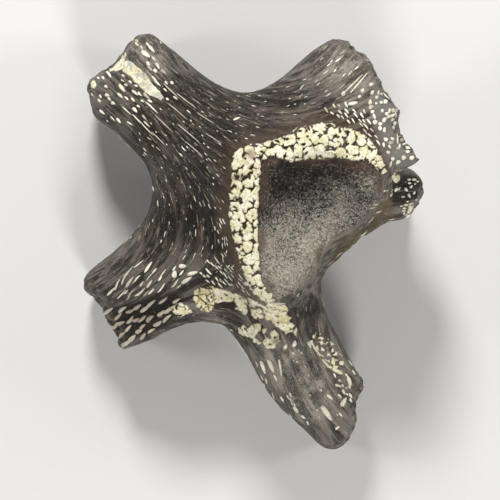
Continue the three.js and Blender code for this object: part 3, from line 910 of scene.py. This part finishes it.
# %% [markdown]
# A filling's direction and length are those seen from above, so on a slope it is drawn out, up to
# MOST_STRETCH. On the sides they are measured on the skin itself.

# %% One filling
MOST_STRETCH = 1.8
BLUNT = 0.3  # how much narrower its front end is than its back end
STEEPEST = 0.6  # it may lie over ground that turns away from its middle by this cosine


def filling(place, normal, direction, length, width, proud, tint, bend=0.0):
    """The vertices of one filling, laid on the skin, or none where the skin turns too sharply."""
    if normal.z > 0.2:
        direction = Vector((direction.x, direction.y, -normal.dot(direction) / normal.z))
        length *= min(direction.length, MOST_STRETCH)
    ahead = (direction - normal * direction.dot(normal)).normalized()
    aside = normal.cross(ahead)
    made = []
    for x, y, z in lens_points:
        y *= 1 - BLUNT * x
        sideways = y * width / 2 + bend * (1 - x * x) * length
        flat = place + ahead * (x * length / 2) + aside * sideways
        ground, slope, _, _ = skin_tree.find_nearest(flat)
        if slope.dot(normal) < STEEPEST:
            return None
        made.append(ground + slope * (proud * (z + 0.25)))
    return made, tint


# %% [markdown]
# All fillings of a kind become one object, with a number per vertex for how tan it is and how
# near the lens's edge. The cream darkens to the bone's colour at the edge.

# %% Fillings joined and coloured
WHITE_CREAM = (0.88, 0.85, 0.69)
TAN_CREAM = (0.40, 0.34, 0.25)


def pit_cream():
    look = Look("pit_cream")
    grit = look.lumps(0.1, 3.0, 0.6)
    colour = look.layers(
        WHITE_CREAM,
        (look.attribute("tint"), TAN_CREAM),
        (look.attribute("edge") ** 2.2 * 0.8, ASH_BONE),
        (grit.step(0.5, 0.75) * 0.5, TAN_BONE))
    look.set(Base_Color=colour, Roughness=0.42 + 0.2 * grit, Normal=look.bump(grit, 0.02, 0.5))
    return look.material


cream_material = pit_cream()


def join(name, fillings):
    """One object from many fillings."""
    fillings = [made for made in fillings if made]
    vertices = [tuple(point) for points, _ in fillings for point in points]
    faces = [tuple(corner + k * len(lens_points) for corner in face)
             for k in range(len(fillings)) for face in lens_faces]
    mesh = bpy.data.meshes.new(name)
    mesh.from_pydata(vertices, [], faces)
    obj = bpy.data.objects.new(name, mesh)
    bpy.context.collection.objects.link(obj)
    store(obj, "tint", np.repeat([tint for _, tint in fillings], len(lens_points)))
    store(obj, "edge", np.tile(lens_edge, len(fillings)))
    finish_piece(obj, cream_material)


# %% [markdown]
# The zones come from the photograph: where the pits are, how many, how long and how wide. Where a
# zone's direction is None they follow the grain, and elsewhere they keep to an angle.

# %% Zones of pits
LEDGE = ([(106, 311), (125, 308), (172, 297), (188, 303), (165, 326), (122, 346)],
         44, (8, 14), (3.2, 4.8), 38)
ZONES = [  # outline, count, lengths and widths in pixels, direction in degrees
    ([(90, 85), (110, 70), (125, 62), (160, 95), (150, 125), (120, 125), (98, 118)],
     28, (4, 11), (1.8, 3.6), -45),
    ([(130, 40), (150, 42), (176, 84), (170, 110), (160, 92), (140, 62)], 12, (4, 9), (2, 3.4), -50),
    ([(100, 118), (150, 125), (175, 100), (200, 120), (180, 160), (150, 160), (120, 135)],
     16, (2, 8), (0.8, 1.6), -46),
    ([(150, 125), (175, 90), (240, 140), (225, 200), (185, 170)], 26, (2, 6), (0.8, 1.3), None),
    ([(175, 70), (210, 95), (262, 96), (330, 60), (300, 115), (240, 140)],
     28, (2, 6), (0.8, 1.4), None),
    ([(290, 75), (335, 40), (370, 75), (368, 98), (340, 98), (300, 104)], 20, (3, 10), (1, 1.8), 42),
    ([(322, 112), (345, 100), (370, 116), (378, 146), (366, 134), (340, 122)],
     26, (5, 9), (1.8, 2.8), -52),
    ([(370, 80), (395, 108), (398, 135), (415, 158), (390, 170), (376, 145), (369, 110)],
     30, (4, 6.5), (3.4, 5), None),
    ([(150, 160), (225, 200), (230, 290), (200, 285), (150, 235)], 36, (2, 8), (0.7, 1.2), None),
    ([(105, 290), (140, 262), (170, 266), (200, 275), (188, 284), (125, 300)],
     24, (6, 15), (1.2, 2.4), 52),
    LEDGE,
    ([(212, 226), (224, 226), (232, 256), (224, 262)], 9, (4, 9), (1.0, 1.6), -76),
    ([(206, 256), (226, 252), (254, 296), (238, 290), (210, 278)], 30, (5, 10), (1.8, 2.8), -48),
    ([(196, 270), (208, 268), (224, 286), (212, 285)], 7, (4, 8), (1.6, 2.4), -40),
    ([(255, 360), (275, 372), (300, 400), (310, 425), (285, 400), (265, 380)],
     8, (5, 9), (1.6, 2.8), -65),
    ([(280, 340), (300, 330), (335, 400), (345, 425), (320, 420), (290, 375)],
     14, (2, 6), (1, 1.8), -58),
    ([(330, 375), (348, 372), (352, 390), (352, 402), (338, 398)], 12, (3, 6), (1.8, 3), -50),
    ([(384, 186), (420, 176), (420, 195), (408, 200), (388, 205)], 7, (2, 5), (1.6, 2.6), None),
    ([(400, 205), (406, 200), (413, 203), (415, 211), (411, 220), (404, 219)],
     13, (2.5, 5), (2.2, 3.8), None),
]
print(len(ZONES), "zones")

# %% [markdown]
# The fillings that stand out most in the photograph are placed one by one.

# %% Single fillings
MARKS = [  # column, row, length and width in pixels, direction in degrees
    (104, 79, 4, 3, -60), (122.7, 89, 11, 4, -52), (126.5, 86, 4, 3, -40), (108, 96, 5, 3.5, -20),
    (121, 96.6, 8, 3, -42), (136, 94, 9, 3, -40), (137, 87, 4, 3, -30), (152, 108, 20, 2, -44),
    (147.6, 125, 9, 2, -44), (134, 101, 6, 2.5, -45), (114, 104, 5, 3.5, -20),
    (146, 55, 12, 5, -35), (152, 50, 10, 3.5, -50), (149, 65, 6, 3.5, -55), (156, 72, 5, 4, -40),
    (158, 84, 10, 3, -42), (166, 91, 5, 2, -44), (176, 99, 6, 2, -35), (167, 84, 5, 2, -45),
    (178, 112, 30, 0.9, -42), (165, 125, 28, 0.8, -44), (190, 135, 34, 0.9, -40),
    (160, 140, 24, 0.8, -46), (172, 92, 24, 0.9, -44), (195, 150, 24, 0.8, -40),
    (187, 102, 28, 0.8, -38), (148, 130, 20, 0.9, -46), (207, 120, 22, 0.8, -33),
    (215, 140, 20, 0.7, -35), (138, 120, 16, 1.4, -44), (128, 112, 14, 1.6, -42),
    (352, 85.5, 30, 2, 44), (358, 84.5, 30, 1.8, 49), (342.5, 95, 6, 4.5, 60),
    (352, 105, 11, 4.5, 15), (361.5, 92, 5, 4, 60), (358.5, 98, 4, 3, 20), (370, 86, 5, 4, 30),
    (371, 94, 5, 3.5, 60), (377, 94, 5, 3.5, 80), (369, 103.5, 6, 4, 80), (375, 105, 3, 3, 0),
    (380, 104, 4, 3.5, 0), (381, 112, 4, 3.5, 70), (388, 112, 5, 3.5, 70), (373, 118, 7, 3, -75),
    (383, 121, 6, 5, 50), (383, 131, 6, 4.5, 80), (382, 146, 5, 4, 80), (388, 148, 5, 4, -60),
    (391, 140, 4, 4, 0), (398, 147, 5, 3, 80), (389, 165, 7, 4.5, 70), (183, 266, 8, 4.5, 0),
    (175, 274, 8, 5.5, 80), (193, 273, 12, 4, 15), (187, 280, 13, 4.5, 32), (149, 267, 14, 3, 55),
    (130, 282, 14, 3, 55), (112, 291, 13, 2.5, 45), (150, 284, 10, 2.5, 55),
    (326, 412, 20, 6, -55), (263, 366.5, 15, 5, -72), (270.8, 365, 16, 5.5, -66),
    (280.3, 367, 20, 2.6, -80), (295.8, 409, 8, 5.5, -60), (282, 398, 7, 3, -60),
    (405, 190, 5, 3, -50), (410, 187, 4, 3, 30), (408, 196, 5, 3, -60), (413, 193, 4, 3, 60),
    (402, 197, 4, 2.5, 0), (415, 200, 3, 2.5, 0), (398, 189, 4, 2.5, 60), (285, 346, 6, 4, 70),
    (294, 343, 7, 5, 80), (295, 330, 7, 3.5, 70), (343, 401, 11, 8, 60), (350, 395, 7, 3, -60),
    (340, 414, 6, 2.5, -50), (349, 381, 12, 5.5, -70), (343, 391, 7, 3, -60),
    (353, 372, 6, 3, -55), (309, 344, 8, 3, -65), (329, 396, 8, 3, -40), (303, 416, 6, 4, -45),
    (337, 427, 6, 3, 40), (409, 210, 10, 7, 75), (407, 216, 7, 5, 40), (405, 205, 5, 4, 0),
    (279, 302.5, 14, 1.6, -3), (385, 98, 10, 3, -50), (394, 115, 9, 2.5, -70),
    (396, 140, 12, 2, 85), (241, 345, 30, 1.5, -57), (237, 120, 8, 3, 20), (247, 283, 6, 5.5, 0),
    (390, 195, 5, 4, 60), (395, 190, 5, 4, 30),
]
draw = random.Random(5)
placed = []
fillings = []
for column, row, length, width, angle in MARKS:
    place, normal = top_at(skin_tree, *spot(column, row))
    way = Vector((math.cos(math.radians(angle)), math.sin(math.radians(angle)), 0))
    length, width = length * PIXEL_MM, width * PIXEL_MM
    placed.append((place, 0.5 * (length + width)))
    fillings.append(filling(place, normal, way, length, width, 0.045, 0.1 + 0.4 * draw.random()))
print(len(fillings), "single fillings")

# %% [markdown]
# In each zone places are drawn at random, and one is used when it is clear of the crusts and of the
# fillings before it. Most are short. Those on the ledge stand prouder and are duller, partly as
# painted shade on the low ledge.

# %% Scatter the fillings on the upper side
covered = [rim_loop, face_loop, ROOT_PATCH, LEDGE_PATCH, ROUND_PATCH]

for zone in ZONES:
    outline, count, lengths, widths, turned = zone
    loop = loop_of(outline)
    (west, south), (east, north) = loop.min(axis=0), loop.max(axis=0)
    tries = [[draw.uniform(west, east), draw.uniform(south, north)] for _ in range(12 * count)]
    tries = np.array(tries)
    tries = tries[depth_in(tries, loop) > 0]
    for patch in covered:
        tries = tries[depth_in(tries, patch) < -0.06]
    made = 0
    for x, y in tries:
        if made == count:
            break
        share = draw.random() ** 1.6
        length = PIXEL_MM * (lengths[0] + share * (lengths[1] - lengths[0]))
        width = PIXEL_MM * draw.uniform(*widths)
        place, normal = top_at(skin_tree, x, y)
        room = 0.45 * (1.25 * length + width)
        if place is None or any(2 * (place - other).length < room + taken for other, taken in placed):
            continue
        way = grain_direction(place)
        if turned is not None:
            angle = math.radians(turned + draw.gauss(0, 7))
            way = Vector((math.cos(angle), math.sin(angle), 0))
        placed.append((place, room))
        proud = 0.06 if zone is LEDGE else 0.035
        # the ledge's duller tint is partly painted shade
        tint = 0.6 + 0.4 * draw.random() if zone is LEDGE else draw.random() ** 2
        bend = draw.gauss(0, 0.04)
        fillings.append(filling(place, normal, way, length, width, proud, tint, bend))
        made += 1
join("pit_fillings", fillings)

# %% [markdown]
# Between the pits run fine pale threads, about a fiftieth of a millimetre wide. They are thinner
# lenses, all over the upper side but for the joint face, the large crusts, the facet and the ledge.

# %% Fine pale threads
THREADS = 400
BARE = [loop_of([(318, 118), (330, 88), (375, 60), (425, 160), (385, 175), (340, 124)]),
        loop_of([(84, 300), (190, 270), (215, 300), (150, 350), (110, 355)])]

upper_side = np.array([[draw.uniform(-9, 9), draw.uniform(-11, 11)] for _ in range(5 * THREADS)])
for patch in covered + BARE:
    upper_side = upper_side[depth_in(upper_side, patch) < 0]
threads = []
for x, y in upper_side:
    place, normal = top_at(skin_tree, x, y)
    if place is None or normal.z < 0.3 or len(threads) == THREADS:
        continue
    length = 0.12 + 0.75 * draw.random() ** 2.5
    width = draw.uniform(0.015, 0.027)
    tint = 0.8 + 0.2 * draw.random()
    way = grain_direction(place)
    threads.append(filling(place, normal, way, length, width, 0.010, tint, draw.gauss(0, 0.03)))
join("pale_threads", threads)

# %% [markdown]
# The sides and the underside have pits too, spread more thinly. These start from random faces of
# the skin, each as likely as it is large.

# %% Scatter the fillings on the sides and underside
SIDE_FILLINGS = 420

centres = np.array([face.center for face in skin.data.polygons])
areas = np.array([face.area for face in skin.data.polygons])
facing = np.array([face.normal for face in skin.data.polygons])
likely = areas * (facing[:, 2] < 0.35) * (centres[:, 2] > 0.3)
chosen = np.random.default_rng(9).choice(len(areas), SIDE_FILLINGS, replace=False,
                                         p=likely / likely.sum())
side_fillings = []
for index in chosen:
    place, normal = Vector(centres[index]), Vector(facing[index])
    length, width = draw.uniform(0.15, 0.5), draw.uniform(0.07, 0.14)
    way = grain_direction(place)
    side_fillings.append(filling(place, normal, way, length, width, 0.03, draw.random()))
join("side_fillings", side_fillings)

# %% [markdown]
# Now the skin takes the solid's place in the render.

# %% Finish the skin
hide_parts("vertebra")
finish_piece(skin, dark_bone())

# %% [markdown]
# ## The scene
#
# The floor is a plain pale sheet. A large soft light comes from the picture's top and draws the
# relief, and weaker ones from both sides and from below fill its shadows.

# %% Floor and lights
bpy.ops.mesh.primitive_plane_add(size=0.6, location=(0, 0, 0))
floor = just_made()
floor.name = "floor"
paper = Look("floor_paper")
paper.set(Base_Color=(0.62, 0.61, 0.59, 1), Roughness=0.8)
floor.data.materials.append(paper.material)

BONE_MIDDLE = Vector((0, 0, 0.005))
LIGHTS = {  # place and size in metres, and watts
    "key_light": ((-0.02, 0.125, 0.095), 0.035, 0.27),
    "left_fill": ((-0.13, 0.01, 0.09), 0.04, 0.06),
    "right_fill": ((0.13, 0.02, 0.06), 0.04, 0.07),
    "low_fill": ((0.03, -0.13, 0.10), 0.05, 0.17)}
for name, (place, size, watts) in LIGHTS.items():
    bpy.ops.object.light_add(type="AREA", location=place)
    light = just_made()
    light.name = name
    light.data.shape = "DISK"
    light.data.size = size
    light.data.energy = watts
    to_bone = BONE_MIDDLE - light.location
    light.rotation_euler = to_bone.to_track_quat("-Z", "Y").to_euler()

world = bpy.data.worlds.new("studio")
bpy.context.scene.world = world
world.use_nodes = True
room = world.node_tree.nodes["Background"].inputs
room["Color"].default_value = (0.75, 0.76, 0.78, 1)
room["Strength"].default_value = 0.18
print("lights:", *LIGHTS)

# %% [markdown]
# The camera looks straight down through a very long lens, so that high and low parts keep their
# places in the picture.

# %% Camera
CAMERA_HEIGHT = 0.9
SENSOR_MM = 36

bpy.ops.object.camera_add(location=(*(side / PER_METRE for side in spot(250, 250)), CAMERA_HEIGHT))
camera = just_made()
camera.data.lens = SENSOR_MM * CAMERA_HEIGHT * PER_METRE / FRAME_MM
camera.data.clip_start = 0.01
bpy.context.scene.camera = camera
bpy.context.scene.view_settings.view_transform = "Standard"
print("lens:", round(camera.data.lens), "mm")
